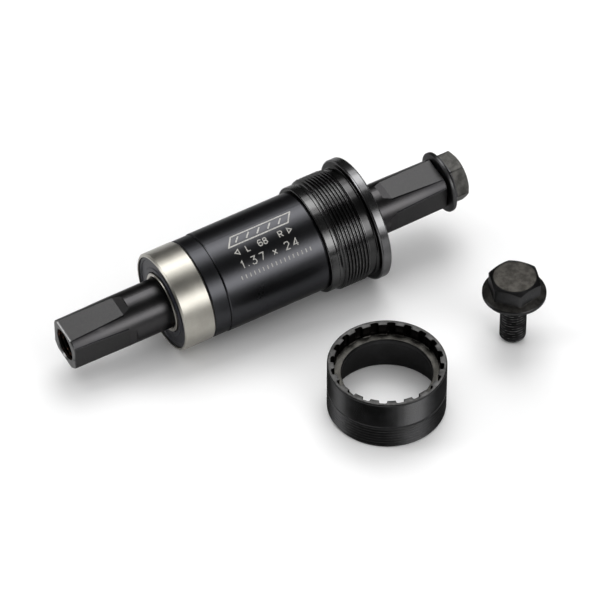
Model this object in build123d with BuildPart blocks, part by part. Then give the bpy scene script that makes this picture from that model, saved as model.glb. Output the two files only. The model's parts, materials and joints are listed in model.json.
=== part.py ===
"""Square-taper cartridge bottom bracket for a 68 mm threaded frame shell.

The cartridge lies on its side on a flat surface, resting on its flange and on its left bearing, so its
axis leans a few degrees. The left cup and one crank bolt stand loose beside it.
Local coordinates of the cartridge: x along the spindle towards the drive side, x = 0 at mid shell.
Units are millimetres, +Z is up, z = 0 is the surface everything rests on, and the origin is under the
middle of the whole set.
"""
import os
from math import atan2, cos, radians, sin, sqrt, tan

from build123d import *

os.makedirs("parts", exist_ok=True)

# ---------------------------------------------------------------- shell and cups
MID_SHELL = (-4.44, 26.706)
SHELL_HALF_WIDTH = 34.0
THREAD_RADIUS = 17.4
FLANGE_RADIUS = 19.05
FLANGE_WIDTH = 3.2
FLANGE_CHAMFER = 0.7
RELIEF_RADIUS = 17.1
SEAT_INNER_RADIUS = 17.45
RIGHT_THREAD_START = 22.3
RIGHT_THREAD_END = 31.2
LEAD_RADIUS = 16.65
RIGHT_CUP_START = 18.35
TOOL_NOTCHES = 20
NOTCH_WIDTH = 2.3
NOTCH_RADIUS = 16.4
SOCKET_RADIUS = 15.35
LIP_RADIUS = 13.25
RIGHT_LIP_WIDTH = 1.8

LEFT_CUP_HEIGHT = 17.4
LEFT_CUP_BORE_RADIUS = 15.9
LEFT_CUP_SOCKET_DEPTH = 3.9
LEFT_CUP_LIP_WIDTH = 1.7
LEFT_CUP_CENTRE = (10.41, -28.356)
LEFT_CUP_TURN = 2.0

# ---------------------------------------------------------------- spindle
SPINDLE_LENGTH = 125.25
SPINDLE_LEFT_END = -61.75
JOURNAL_RADIUS = 7.85
CORNER_END_RADIUS = 7.65
BARREL_RADIUS = 8.9
SHOULDER_RADIUS = 9.6
SHOULDER_WIDTH = 5.0
FLAT_END_DISTANCE = 6.365
FLAT_TAPER = 2.0
FLAT_LENGTH = 17.8
RUNOUT_LENGTH = 2.4
RUNOUT_RADIUS = 7.45
SPINDLE_TURN = 5.5
END_CHAMFER = 0.45
BOLT_HOLE_RADIUS = 4.0
BOLT_HOLE_DEPTH = 24.0
COUNTERBORE_RADIUS = 4.7
COUNTERBORE_DEPTH = 2.6

# ---------------------------------------------------------------- bearings
BEARING_WIDTH = 10.0
BEARING_RADIUS = 15.35
LEFT_BEARING_OUTER_FACE = -29.7
BALL_DIAMETER = 4.762
BALL_COUNT = 10
PITCH_RADIUS = 11.75
RACE_CURVATURE = 0.52
BALL_CLEARANCE = 0.03
INNER_LAND_RADIUS = 10.2
OUTER_LAND_RADIUS = 13.2
SEAL_STEP_RADIUS = 9.2
SEAL_LIP_RADIUS = 9.45
SEAL_SEAT_RADIUS = 14.4
SEAL_RECESS = 0.45
SEAL_THICKNESS = 0.95
CAGE_SHEET = 0.45
CAGE_POCKET_CLEARANCE = 0.15
CAGE_INNER_RADIUS = 10.9
CAGE_OUTER_RADIUS = 12.6
RIVET_RADIUS = 0.4
RIVET_HEAD_RADIUS = 0.55

# ---------------------------------------------------------------- sleeve and collar
TUBE_RADIUS = 15.45
TUBE_BORE_RADIUS = 13.6
TUBE_SPIGOT_RADIUS = 14.3
TUBE_START = -14.5
COLLAR_RADIUS = 15.25
COLLAR_LIP_WIDTH = 1.6

# ---------------------------------------------------------------- crank bolts
BOLT_SHANK_RADIUS = 3.95
BOLT_SHANK_LENGTH = 17.5
BOLT_FLANGE_RADIUS = 9.45
BOLT_FLANGE_RIM = 1.3
BOLT_CONE_HEIGHT = 2.1
BOLT_CONE_RADIUS = 7.2
BOLT_ACROSS_FLATS = 14.0
BOLT_HEAD_HEIGHT = 7.1
BOLT_FACE_RADIUS = 6.3
BOLT_DOME = 0.2
BOLT_SEAT_GAP = 0.05
LOOSE_BOLT_CENTRE = (56.70, -22.014)
LOOSE_BOLT_TURN = 42.0
FITTED_BOLT_TURN = 2.5

# ---------------------------------------------------------------- derived sizes
flange_face = SHELL_HALF_WIDTH
flange_end = flange_face + FLANGE_WIDTH
right_bearing_end = flange_face - RIGHT_LIP_WIDTH
right_bearing_start = right_bearing_end - BEARING_WIDTH
left_bearing_end = LEFT_BEARING_OUTER_FACE + BEARING_WIDTH
spindle_right_end = SPINDLE_LEFT_END + SPINDLE_LENGTH
race_edge_chamfer = 0.5
flat_inner_distance = FLAT_END_DISTANCE + FLAT_LENGTH * tan(radians(FLAT_TAPER))

# The flange's rim and the left bearing's rim both touch the surface, which sets the lean of the axis.
rim_contact_x = flange_face + FLANGE_CHAMFER
bearing_contact_x = LEFT_BEARING_OUTER_FACE + race_edge_chamfer
lean = atan2(FLANGE_RADIUS - BEARING_RADIUS, rim_contact_x - bearing_contact_x)
axis_height = FLANGE_RADIUS * cos(lean) - rim_contact_x * sin(lean)

axis_direction = Vector(cos(lean), 0, sin(lean))
axis_point = Vector(*MID_SHELL, axis_height)
spindle_axis = Axis(axis_point, axis_direction)
lying_up = Vector(-sin(lean), 0, cos(lean))
lying_front = Vector(0, -1, 0)


def side_plane(turn=0.0):
    """Plane through the spindle axis: x along the axis, y leaning from up to the front by turn."""
    radial = lying_up * cos(radians(turn)) + lying_front * sin(radians(turn))
    return Plane(origin=axis_point, x_dir=axis_direction, z_dir=axis_direction.cross(radial))


def cross_plane(x):
    """Plane square to the spindle axis at x: its own x points up, its own y to the front."""
    return Plane(origin=axis_point + axis_direction * x, x_dir=lying_up, z_dir=axis_direction)


def bearing_plane(centre_x, outboard):
    """Plane through the spindle axis with x = 0 at a bearing's middle and +x to its outer side."""
    return Plane(
        origin=axis_point + axis_direction * centre_x,
        x_dir=axis_direction * outboard,
        z_dir=axis_direction.cross(lying_up) * outboard,
    )


# ================================================================ spindle
with BuildPart() as spindle:
    with BuildSketch(side_plane()):
        with BuildLine():
            Polyline(
                (SPINDLE_LEFT_END, 0),
                (SPINDLE_LEFT_END, CORNER_END_RADIUS - END_CHAMFER),
                (SPINDLE_LEFT_END + END_CHAMFER, CORNER_END_RADIUS),
                (SPINDLE_LEFT_END + FLAT_LENGTH, JOURNAL_RADIUS),
                (left_bearing_end, JOURNAL_RADIUS),
                (left_bearing_end, SHOULDER_RADIUS - 0.4),
                (left_bearing_end + 0.4, SHOULDER_RADIUS),
                (left_bearing_end + SHOULDER_WIDTH, SHOULDER_RADIUS),
                (left_bearing_end + SHOULDER_WIDTH + 2, BARREL_RADIUS),
                (right_bearing_start - SHOULDER_WIDTH - 2, BARREL_RADIUS),
                (right_bearing_start - SHOULDER_WIDTH, SHOULDER_RADIUS),
                (right_bearing_start - 0.4, SHOULDER_RADIUS),
                (right_bearing_start, SHOULDER_RADIUS - 0.4),
                (right_bearing_start, JOURNAL_RADIUS),
                (spindle_right_end - FLAT_LENGTH, JOURNAL_RADIUS),
                (spindle_right_end - END_CHAMFER, CORNER_END_RADIUS),
                (spindle_right_end, CORNER_END_RADIUS - END_CHAMFER),
                (spindle_right_end, 0),
                close=True,
            )
        make_face()
    revolve(axis=spindle_axis)
    # Four tapered flats at each end, each with a short blunt run-out.
    for end_x, inward in ((SPINDLE_LEFT_END, 1), (spindle_right_end, -1)):
        for quarter in range(4):
            with BuildSketch(side_plane(SPINDLE_TURN + 90 * quarter)):
                with BuildLine():
                    Polyline(
                        (end_x - inward * 1.0, FLAT_END_DISTANCE - END_CHAMFER - 1.0),
                        (end_x + inward * END_CHAMFER, FLAT_END_DISTANCE),
                        (end_x + inward * FLAT_LENGTH, flat_inner_distance),
                        (end_x + inward * (FLAT_LENGTH + RUNOUT_LENGTH), RUNOUT_RADIUS),
                        (end_x + inward * (FLAT_LENGTH + RUNOUT_LENGTH + 0.15), JOURNAL_RADIUS + 1),
                        (end_x - inward * 1.0, JOURNAL_RADIUS + 1),
                        close=True,
                    )
                make_face()
            extrude(amount=JOURNAL_RADIUS, both=True, mode=Mode.SUBTRACT)
    # Tapped hole and counterbore for the crank bolt in each end.
    for end_x, inward in ((SPINDLE_LEFT_END, 1), (spindle_right_end, -1)):
        with BuildSketch(side_plane()):
            with BuildLine():
                Polyline(
                    (end_x, 0),
                    (end_x, COUNTERBORE_RADIUS + 0.5),
                    (end_x + inward * 0.5, COUNTERBORE_RADIUS),
                    (end_x + inward * COUNTERBORE_DEPTH, COUNTERBORE_RADIUS),
                    (end_x + inward * (COUNTERBORE_DEPTH + 0.9), BOLT_HOLE_RADIUS),
                    (end_x + inward * BOLT_HOLE_DEPTH, BOLT_HOLE_RADIUS),
                    (end_x + inward * (BOLT_HOLE_DEPTH + BOLT_HOLE_RADIUS * tan(radians(31))), 0),
                    close=True,
                )
            make_face()
        revolve(axis=spindle_axis, mode=Mode.SUBTRACT)
spindle.part.label = "spindle"
export_step(spindle.part, "parts/spindle.step")

# ================================================================ right cup
with BuildPart() as right_cup:
    with BuildSketch(side_plane()):
        with BuildLine():
            Polyline(
                (RIGHT_CUP_START, BEARING_RADIUS),
                (RIGHT_CUP_START, LEAD_RADIUS - 0.5),
                (RIGHT_CUP_START + 0.4, LEAD_RADIUS),
                (RIGHT_CUP_START + 2.6, LEAD_RADIUS),
                (RIGHT_THREAD_START - 0.4, LEAD_RADIUS - 0.15),
                (RIGHT_THREAD_START, THREAD_RADIUS),
                (RIGHT_THREAD_END, THREAD_RADIUS),
                (RIGHT_THREAD_END + 0.5, RELIEF_RADIUS),
                (flange_face - 0.35, RELIEF_RADIUS),
                (flange_face, SEAT_INNER_RADIUS),
                (flange_face, FLANGE_RADIUS - FLANGE_CHAMFER),
                (flange_face + FLANGE_CHAMFER, FLANGE_RADIUS),
                (flange_end - FLANGE_CHAMFER, FLANGE_RADIUS),
                (flange_end, FLANGE_RADIUS - FLANGE_CHAMFER),
                (flange_end, SOCKET_RADIUS + 0.4),
                (flange_end - 0.4, SOCKET_RADIUS),
                (flange_face, SOCKET_RADIUS),
                (flange_face, LIP_RADIUS),
                (right_bearing_end, LIP_RADIUS),
                (right_bearing_end, BEARING_RADIUS),
                close=True,
            )
        make_face()
    revolve(axis=spindle_axis)
    with BuildSketch(cross_plane(flange_face)):
        with PolarLocations(NOTCH_RADIUS - 0.9, TOOL_NOTCHES):
            RectangleRounded(1.8, NOTCH_WIDTH, 0.5)
    extrude(amount=FLANGE_WIDTH + 1, mode=Mode.SUBTRACT)
right_cup.part.label = "right_cup"
export_step(right_cup.part, "parts/right_cup.step")

# ================================================================ sleeve
with BuildPart() as cartridge_tube:
    with BuildSketch(side_plane()):
        with BuildLine():
            Polyline(
                (TUBE_START - 3.6, TUBE_BORE_RADIUS),
                (TUBE_START - 3.6, TUBE_SPIGOT_RADIUS),
                (TUBE_START, TUBE_SPIGOT_RADIUS),
                (TUBE_START, TUBE_RADIUS - 0.3),
                (TUBE_START + 0.3, TUBE_RADIUS),
                (RIGHT_CUP_START - 0.5, TUBE_RADIUS),
                (RIGHT_CUP_START - 0.3, BEARING_RADIUS),
                (right_bearing_start, BEARING_RADIUS),
                (right_bearing_start, TUBE_BORE_RADIUS),
                close=True,
            )
        make_face()
    revolve(axis=spindle_axis)
cartridge_tube.part.label = "cartridge_tube"
export_step(cartridge_tube.part, "parts/cartridge_tube.step")

# ================================================================ end collar
with BuildPart() as end_collar:
    with BuildSketch(side_plane()):
        with BuildLine():
            Polyline(
                (left_bearing_end, TUBE_BORE_RADIUS),
                (left_bearing_end, COLLAR_RADIUS - 0.35),
                (left_bearing_end + 0.35, COLLAR_RADIUS),
                (TUBE_START - 0.3, COLLAR_RADIUS),
                (TUBE_START, COLLAR_RADIUS - 0.3),
                (TUBE_START, TUBE_SPIGOT_RADIUS),
                (left_bearing_end + COLLAR_LIP_WIDTH, TUBE_SPIGOT_RADIUS),
                (left_bearing_end + COLLAR_LIP_WIDTH, TUBE_BORE_RADIUS),
                close=True,
            )
        make_face()
    revolve(axis=spindle_axis)
end_collar.part.label = "end_collar"
export_step(end_collar.part, "parts/end_collar.step")

# ================================================================ bearings
half_width = BEARING_WIDTH / 2
ball_radius = BALL_DIAMETER / 2
groove_radius = BALL_DIAMETER * RACE_CURVATURE
inner_groove_centre = PITCH_RADIUS - ball_radius - BALL_CLEARANCE + groove_radius
outer_groove_centre = PITCH_RADIUS + ball_radius + BALL_CLEARANCE - groove_radius
pocket_radius = ball_radius + CAGE_POCKET_CLEARANCE
seal_outer_x = half_width - SEAL_RECESS
seal_inner_x = seal_outer_x - SEAL_THICKNESS
step_x = seal_inner_x - 0.35


def make_inner_race(plane):
    """Inner ring with a ball groove and a low step under each seal lip."""
    with BuildPart() as race:
        with BuildSketch(plane):
            with BuildLine():
                Polyline(
                    (-half_width, JOURNAL_RADIUS + 0.5),
                    (-half_width, SEAL_STEP_RADIUS - 0.15),
                    (-half_width + 0.15, SEAL_STEP_RADIUS),
                    (-step_x, SEAL_STEP_RADIUS),
                    (-step_x, INNER_LAND_RADIUS),
                    (step_x, INNER_LAND_RADIUS),
                    (step_x, SEAL_STEP_RADIUS),
                    (half_width - 0.15, SEAL_STEP_RADIUS),
                    (half_width, SEAL_STEP_RADIUS - 0.15),
                    (half_width, JOURNAL_RADIUS + 0.5),
                    (half_width - 0.5, JOURNAL_RADIUS),
                    (-half_width + 0.5, JOURNAL_RADIUS),
                    close=True,
                )
            make_face()
            with Locations((0, inner_groove_centre)):
                Circle(groove_radius, mode=Mode.SUBTRACT)
        revolve(axis=spindle_axis)
    return race.part


def make_outer_race(plane):
    """Outer ring with a ball groove and a seal seat in each side."""
    with BuildPart() as race:
        with BuildSketch(plane):
            with BuildLine():
                Polyline(
                    (-half_width, SEAL_SEAT_RADIUS),
                    (-half_width, BEARING_RADIUS - race_edge_chamfer),
                    (-half_width + race_edge_chamfer, BEARING_RADIUS),
                    (half_width - race_edge_chamfer, BEARING_RADIUS),
                    (half_width, BEARING_RADIUS - race_edge_chamfer),
                    (half_width, SEAL_SEAT_RADIUS),
                    (seal_inner_x, SEAL_SEAT_RADIUS),
                    (seal_inner_x, OUTER_LAND_RADIUS),
                    (-seal_inner_x, OUTER_LAND_RADIUS),
                    (-seal_inner_x, SEAL_SEAT_RADIUS),
                    close=True,
                )
            make_face()
            with Locations((0, outer_groove_centre)):
                Circle(groove_radius, mode=Mode.SUBTRACT)
        revolve(axis=spindle_axis)
    return race.part


def make_seal(plane, side):
    """Rubber seal washer with a shallow moulded groove, on the +x (side 1) or -x (side -1) face."""
    with BuildPart() as seal:
        with BuildSketch(plane):
            with BuildLine():
                Polyline(
                    (side * seal_inner_x, SEAL_LIP_RADIUS + 0.5),
                    (side * (seal_inner_x + 0.25), SEAL_LIP_RADIUS),
                    (side * (seal_outer_x - 0.1), SEAL_LIP_RADIUS),
                    (side * seal_outer_x, SEAL_LIP_RADIUS + 0.3),
                    (side * seal_outer_x, 10.6),
                    (side * (seal_outer_x - 0.3), 10.9),
                    (side * (seal_outer_x - 0.3), 13.2),
                    (side * seal_outer_x, 13.5),
                    (side * seal_outer_x, SEAL_SEAT_RADIUS - 0.15),
                    (side * (seal_outer_x - 0.15), SEAL_SEAT_RADIUS),
                    (side * seal_inner_x, SEAL_SEAT_RADIUS),
                    close=True,
                )
            make_face()
        revolve(axis=spindle_axis)
    return seal.part


def make_balls(centre_x):
    """The whole ball set of one bearing."""
    with BuildPart() as balls:
        with Locations(cross_plane(centre_x)):
            with PolarLocations(PITCH_RADIUS, BALL_COUNT):
                Sphere(ball_radius)
    return balls.part


def make_cage_half(centre_x, side):
    """Pressed ribbon half: a flat ring with a spherical pocket over each ball."""
    with BuildPart() as cage:
        with BuildSketch(cross_plane(centre_x)):
            Circle(CAGE_OUTER_RADIUS)
            Circle(CAGE_INNER_RADIUS, mode=Mode.SUBTRACT)
        extrude(amount=side * CAGE_SHEET)
        with Locations(cross_plane(centre_x)):
            with PolarLocations(PITCH_RADIUS, BALL_COUNT):
                Sphere(pocket_radius + CAGE_SHEET)
        with BuildSketch(cross_plane(centre_x)):
            Circle(CAGE_OUTER_RADIUS)
            Circle(CAGE_INNER_RADIUS, mode=Mode.SUBTRACT)
        extrude(amount=side * (pocket_radius + CAGE_SHEET + 1), mode=Mode.INTERSECT)
        with Locations(cross_plane(centre_x)):
            with PolarLocations(PITCH_RADIUS, BALL_COUNT):
                Sphere(pocket_radius, mode=Mode.SUBTRACT)
            with PolarLocations(PITCH_RADIUS, BALL_COUNT, start_angle=180 / BALL_COUNT):
                Cylinder(RIVET_RADIUS, 4 * CAGE_SHEET, mode=Mode.SUBTRACT)
    return cage.part


def make_rivets(centre_x):
    """Rivets through both cage halves, one between each pair of balls."""
    with BuildPart() as rivets:
        with Locations(cross_plane(centre_x)):
            with PolarLocations(PITCH_RADIUS, BALL_COUNT, start_angle=180 / BALL_COUNT):
                Cylinder(RIVET_RADIUS, 2 * CAGE_SHEET)
        for side in (-1, 1):
            with Locations(cross_plane(centre_x + side * (CAGE_SHEET + 0.15))):
                with PolarLocations(PITCH_RADIUS, BALL_COUNT, start_angle=180 / BALL_COUNT):
                    Cylinder(RIVET_HEAD_RADIUS, 0.3)
    return rivets.part


left_centre = LEFT_BEARING_OUTER_FACE + half_width
right_centre = right_bearing_start + half_width
for prefix, centre_x, outboard in (("left", left_centre, -1), ("right", right_centre, 1)):
    plane = bearing_plane(centre_x, outboard)
    bearing_pieces = {
        "inner_race": make_inner_race(plane),
        "outer_race": make_outer_race(plane),
        "outboard_seal": make_seal(plane, 1),
        "inboard_seal": make_seal(plane, -1),
        "balls": make_balls(centre_x),
        "cage_outer_half": make_cage_half(centre_x, outboard),
        "cage_inner_half": make_cage_half(centre_x, -outboard),
        "cage_rivets": make_rivets(centre_x),
    }
    for piece_name, piece in bearing_pieces.items():
        piece.label = prefix + "_" + piece_name
        export_step(piece, "parts/" + piece.label + ".step")


# ================================================================ crank bolts
dome_sphere_radius = (BOLT_FACE_RADIUS**2 + BOLT_DOME**2) / (2 * BOLT_DOME)
dome_half_drop = dome_sphere_radius - sqrt(dome_sphere_radius**2 - (BOLT_FACE_RADIUS / 2) ** 2)


def make_crank_bolt(seat, turn):
    """Flanged hex bolt whose flange sits on the seat plane, head on its +z side."""
    profile = Plane(origin=seat.origin, x_dir=seat.x_dir, z_dir=seat.y_dir * -1)
    bolt_axis = Axis(seat.origin, seat.z_dir)
    with BuildPart() as bolt:
        # Hex head with its corners turned back to a round, slightly domed face.
        with BuildSketch(seat):
            RegularPolygon(BOLT_ACROSS_FLATS / 2, 6, major_radius=False, rotation=turn)
        extrude(amount=BOLT_HEAD_HEIGHT + 2)
        with BuildSketch(profile):
            with BuildLine():
                dome = ThreePointArc(
                    (BOLT_FACE_RADIUS, BOLT_HEAD_HEIGHT),
                    (BOLT_FACE_RADIUS / 2, BOLT_HEAD_HEIGHT + BOLT_DOME - dome_half_drop),
                    (0, BOLT_HEAD_HEIGHT + BOLT_DOME),
                )
                Polyline(
                    dome @ 1,
                    (0, 0),
                    (10, 0),
                    (10, BOLT_HEAD_HEIGHT - (10 - BOLT_FACE_RADIUS) * tan(radians(30))),
                    dome @ 0,
                )
            make_face()
        revolve(axis=bolt_axis, mode=Mode.INTERSECT)
        # Conical flange, neck and shank.
        with BuildSketch(profile):
            with BuildLine():
                Polyline(
                    (0, BOLT_CONE_HEIGHT),
                    (BOLT_CONE_RADIUS, BOLT_CONE_HEIGHT),
                    (BOLT_FLANGE_RADIUS, BOLT_FLANGE_RIM),
                    (BOLT_FLANGE_RADIUS, 0.3),
                    (BOLT_FLANGE_RADIUS - 0.3, 0),
                    (BOLT_SHANK_RADIUS - 0.5, 0),
                    (BOLT_SHANK_RADIUS - 0.5, -0.9),
                    (BOLT_SHANK_RADIUS, -1.4),
                    (BOLT_SHANK_RADIUS, -BOLT_SHANK_LENGTH + 1.4),
                    (BOLT_SHANK_RADIUS - 1.2, -BOLT_SHANK_LENGTH),
                    (0, -BOLT_SHANK_LENGTH),
                    close=True,
                )
            make_face()
        revolve(axis=bolt_axis)
    return bolt.part


fitted_seat = cross_plane(spindle_right_end + BOLT_SEAT_GAP)
right_crank_bolt = make_crank_bolt(fitted_seat, FITTED_BOLT_TURN)
right_crank_bolt.label = "right_crank_bolt"
export_step(right_crank_bolt, "parts/right_crank_bolt.step")

loose_seat = Plane.XY.offset(BOLT_SHANK_LENGTH).shift_origin((*LOOSE_BOLT_CENTRE, BOLT_SHANK_LENGTH))
left_crank_bolt = make_crank_bolt(loose_seat, LOOSE_BOLT_TURN)
left_crank_bolt.label = "left_crank_bolt"
export_step(left_crank_bolt, "parts/left_crank_bolt.step")

# ================================================================ left cup
cup_x, cup_y = LEFT_CUP_CENTRE
cup_axis = Axis((cup_x, cup_y, 0), (0, 0, 1))
cup_profile = Plane(origin=(cup_x, cup_y, 0), x_dir=(1, 0, 0), z_dir=(0, -1, 0))
cup_ledge = LEFT_CUP_HEIGHT - LEFT_CUP_SOCKET_DEPTH
cup_pocket_top = cup_ledge - LEFT_CUP_LIP_WIDTH
with BuildPart() as left_cup:
    with BuildSketch(cup_profile):
        with BuildLine():
            Polyline(
                (LEFT_CUP_BORE_RADIUS, 0.6),
                (LEFT_CUP_BORE_RADIUS + 0.6, 0),
                (THREAD_RADIUS - 0.5, 0),
                (THREAD_RADIUS, 0.5),
                (THREAD_RADIUS, LEFT_CUP_HEIGHT - 0.5),
                (THREAD_RADIUS - 0.5, LEFT_CUP_HEIGHT),
                (SOCKET_RADIUS + 0.2, LEFT_CUP_HEIGHT),
                (SOCKET_RADIUS, LEFT_CUP_HEIGHT - 0.2),
                (SOCKET_RADIUS, cup_ledge),
                (LIP_RADIUS + 0.3, cup_ledge),
                (LIP_RADIUS, cup_ledge - 0.3),
                (LIP_RADIUS, cup_pocket_top),
                (LEFT_CUP_BORE_RADIUS, cup_pocket_top),
                close=True,
            )
        make_face()
    revolve(axis=cup_axis)
    with BuildSketch(Plane.XY.offset(cup_ledge)):
        with Locations((cup_x, cup_y)):
            with PolarLocations(NOTCH_RADIUS - 0.9, TOOL_NOTCHES, start_angle=LEFT_CUP_TURN):
                RectangleRounded(1.8, NOTCH_WIDTH, 0.5)
    extrude(amount=LEFT_CUP_SOCKET_DEPTH + 1, mode=Mode.SUBTRACT)
left_cup.part.label = "left_cup"
export_step(left_cup.part, "parts/left_cup.step")
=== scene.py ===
"""Looks for the cartridge bottom bracket: threaded cups and bolts, finishes, floor, lights and camera."""

import json
from math import asin, atan2, cos, pi, radians, sin, sqrt, tan

import bmesh
import bpy
import numpy as np
from mathutils import Matrix, Vector


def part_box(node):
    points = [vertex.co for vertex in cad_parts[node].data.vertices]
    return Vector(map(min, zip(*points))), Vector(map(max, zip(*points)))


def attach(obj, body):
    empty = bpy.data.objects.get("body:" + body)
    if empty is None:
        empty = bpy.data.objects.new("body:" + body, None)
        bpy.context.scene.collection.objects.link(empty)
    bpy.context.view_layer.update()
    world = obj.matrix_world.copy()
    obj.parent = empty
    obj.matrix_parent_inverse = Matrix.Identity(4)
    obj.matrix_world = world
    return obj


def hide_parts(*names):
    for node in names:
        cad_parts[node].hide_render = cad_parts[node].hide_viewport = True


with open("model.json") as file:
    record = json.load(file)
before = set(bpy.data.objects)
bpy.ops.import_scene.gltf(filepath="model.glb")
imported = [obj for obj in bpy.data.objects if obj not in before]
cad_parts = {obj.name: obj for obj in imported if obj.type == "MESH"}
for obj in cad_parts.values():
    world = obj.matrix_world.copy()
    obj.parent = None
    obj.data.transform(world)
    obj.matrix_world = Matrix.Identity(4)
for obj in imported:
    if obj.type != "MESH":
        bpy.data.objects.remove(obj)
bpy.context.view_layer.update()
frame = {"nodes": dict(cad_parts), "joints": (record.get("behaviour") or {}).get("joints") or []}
scene = bpy.context.scene
MM = 0.001

# ---------------------------------------------------------------- where the pieces lie
spin = [j for j in frame["joints"] if j["name"] == "spindle_spin"][0]
MID = Vector(spin["pos_m"])
ALONG = Vector(spin["axis"]).normalized()
UP = Vector((-ALONG.z, 0, ALONG.x))
FRONT = Vector((0, -1, 0))
LEAN = atan2(ALONG.z, ALONG.x)


def foot_of(node):
    """Point on the floor under the middle of a standing piece."""
    low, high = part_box(node)
    return ((low[0] + high[0]) / 2, (low[1] + high[1]) / 2, 0.0)


cup_origin = foot_of("left_cup")
bolt_origin = foot_of("left_crank_bolt")

# ---------------------------------------------------------------- sizes, in millimetres and degrees
THREAD_RADIUS = 17.4
CUP_PITCH = 25.4 / 24
LIP_RADIUS = 13.25

# Tool socket with its notches, the same in both cups.
LAND_RADIUS = 15.35
NOTCH_FLOOR = 16.4
NOTCH_HALF_WIDTH = 1.15
NOTCH_CORNER = 0.5
NOTCH_MOUTH = 0.12
NOTCHES = 20

# Right cup, x along the spindle from mid shell.
RIGHT_CUP_START = 18.35
LEAD_RADIUS = 16.65
RIGHT_THREAD_START, RIGHT_THREAD_END = 22.3, 31.3
RIGHT_ROOT = 16.82
RELIEF_RADIUS = 16.8
RIGHT_LIP_START = 32.2
FLANGE_START, FLANGE_END = 34.0, 37.2
FLANGE_RADIUS = 19.05

# Left cup, height above the floor.
LEFT_CUP_TURN = 2.0
LEFT_HEIGHT = 17.4
LEFT_BORE = 15.9
LEFT_THREAD_START, LEFT_THREAD_END = 0.2, 8.2
LEFT_ROOT = 16.95
LEFT_LEDGE = 13.5
LEFT_LIP_START = 11.8
GROOVES_START = 8.4
GROOVE_PITCH, GROOVE_DEPTH, GROOVES = 0.35, 0.14, 24

# Spindle, x from mid shell.
SPINDLE_TURN = 5.5
SPINDLE_LENGTH = 125.25
LEFT_END = -61.75
RIGHT_END = LEFT_END + SPINDLE_LENGTH
FLAT_END_DISTANCE = 6.365
FLAT_TAPER = 2.0
FLAT_LENGTH = 17.8
COUNTERBORE_RADIUS = 4.7

# Crank bolts, height above the underside of the flange.
BOLT_PITCH = 1.0
SHANK_RADIUS, SHANK_ROOT = 3.95, 3.4
SHANK_LENGTH = 17.5
TIP_RADIUS = 2.75
BOLT_THREAD_START, BOLT_THREAD_END = -17.4, -1.0
RIM_RADIUS, RIM_TOP = 9.45, 1.3
CONE_TOP, CONE_TOP_RADIUS = 2.1, 7.2
HEX_INRADIUS, HEX_CORNER_RADIUS = 7.0, 7.98
HEAD_HEIGHT, FACE_RADIUS = 7.1, 6.3
BOLT_STEPS = 120
BOLT_SEAT_GAP = 0.05
FITTED_SEAT = RIGHT_END + BOLT_SEAT_GAP
LOOSE_BOLT_TURN = 42.0
FITTED_BOLT_TURN = 2.5

# Sleeve.
SLEEVE_RADIUS = 15.45
MARK_HEIGHT, MARK_SINK = 0.03, 0.05

# Thread form over one pitch, 0 at the crest and 1 at the root.
THREAD_SHAPE = (0.0, 0.0, 0.3, 0.7, 1.0, 1.0, 0.7, 0.3)
THREAD_STEPS = len(THREAD_SHAPE)

# ---------------------------------------------------------------- colours of stretches rubbed to a satin
BOLT_FACE = (0.055, 0.052, 0.047)
CONE_FACE = (0.058, 0.056, 0.052)
HEX_FACE = (0.088, 0.086, 0.081)
RIM_FACE = (0.088, 0.087, 0.086)
LEDGE_FACE = (0.082, 0.079, 0.072)
# Painted shade, near black, for the recess of a tool socket; not a colour of the steel.
POCKET_PAINTED_SHADE = (0.012, 0.011, 0.0105)

# A thread's crests would be fully worn this far above their radius.
CREST_MARGIN = 0.02


# ================================================================ closed lathe meshes
def smooth_step(value, low, high):
    t = np.clip((value - low) / (high - low), 0, 1)
    return t * t * (3 - 2 * t)


def socket_outline(grow, turn):
    """Points (u, v) round the tool socket's notched wall, grown outwards by grow."""
    land, half = LAND_RADIUS + grow, NOTCH_HALF_WIDTH + grow
    floor, corner = NOTCH_FLOOR + grow, NOTCH_CORNER + grow
    mouth = NOTCH_MOUTH
    points = []
    for notch in range(NOTCHES):
        one_side = []
        # Land from the middle between two notches to this notch's mouth.
        half_angle = asin((half + mouth) / (land + mouth))
        for step in range(4):
            angle = -pi / NOTCHES + (pi / NOTCHES - half_angle) * step / 3
            one_side.append((land * cos(angle), land * sin(angle)))
        # Rounded mouth edge, wall and rounded corner.
        inner = sqrt((land + mouth) ** 2 - (half + mouth) ** 2)
        one_side.append((inner - mouth * 0.35, -half - mouth * 0.2))
        one_side.append((inner + mouth * 0.45, -half))
        for step in range(4):
            angle = radians(30 * step)
            one_side.append((floor - corner + corner * sin(angle), -(half - corner) - corner * cos(angle)))
        mirrored = [(u, -v) for u, v in reversed(one_side)]
        centre = turn + 2 * pi * notch / NOTCHES
        for u, v in one_side + mirrored[:-1]:
            points.append((u * cos(centre) - v * sin(centre), u * sin(centre) + v * cos(centre)))
    return np.array(points)


def column_angles(turn=0.0):
    """Angle of each column of a cup's mesh, taken from its socket's outline."""
    outline = socket_outline(0.0, turn)
    return np.unwrap(np.arctan2(outline[:, 1], outline[:, 0]))


def plain_row(angles, x, radius):
    radius = np.broadcast_to(radius, angles.shape)
    return np.stack([np.broadcast_to(x, angles.shape), radius * np.cos(angles), radius * np.sin(angles)], 1)


def rows_at(angles, *points):
    """Block of round rows through the profile points (x, radius)."""
    return ("rows", [plain_row(angles, x, radius) for x, radius in points])


def socket_rows(mouth, steps, turn=0.0):
    """Block of rows down a tool socket: steps lists (depth below the mouth, growth of the outline)."""
    rows = []
    for depth, grow in steps:
        points = socket_outline(grow, turn)
        rows.append(np.stack([np.full(len(points), mouth - depth), points[:, 0], points[:, 1]], 1))
    return ("rows", rows)


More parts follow.
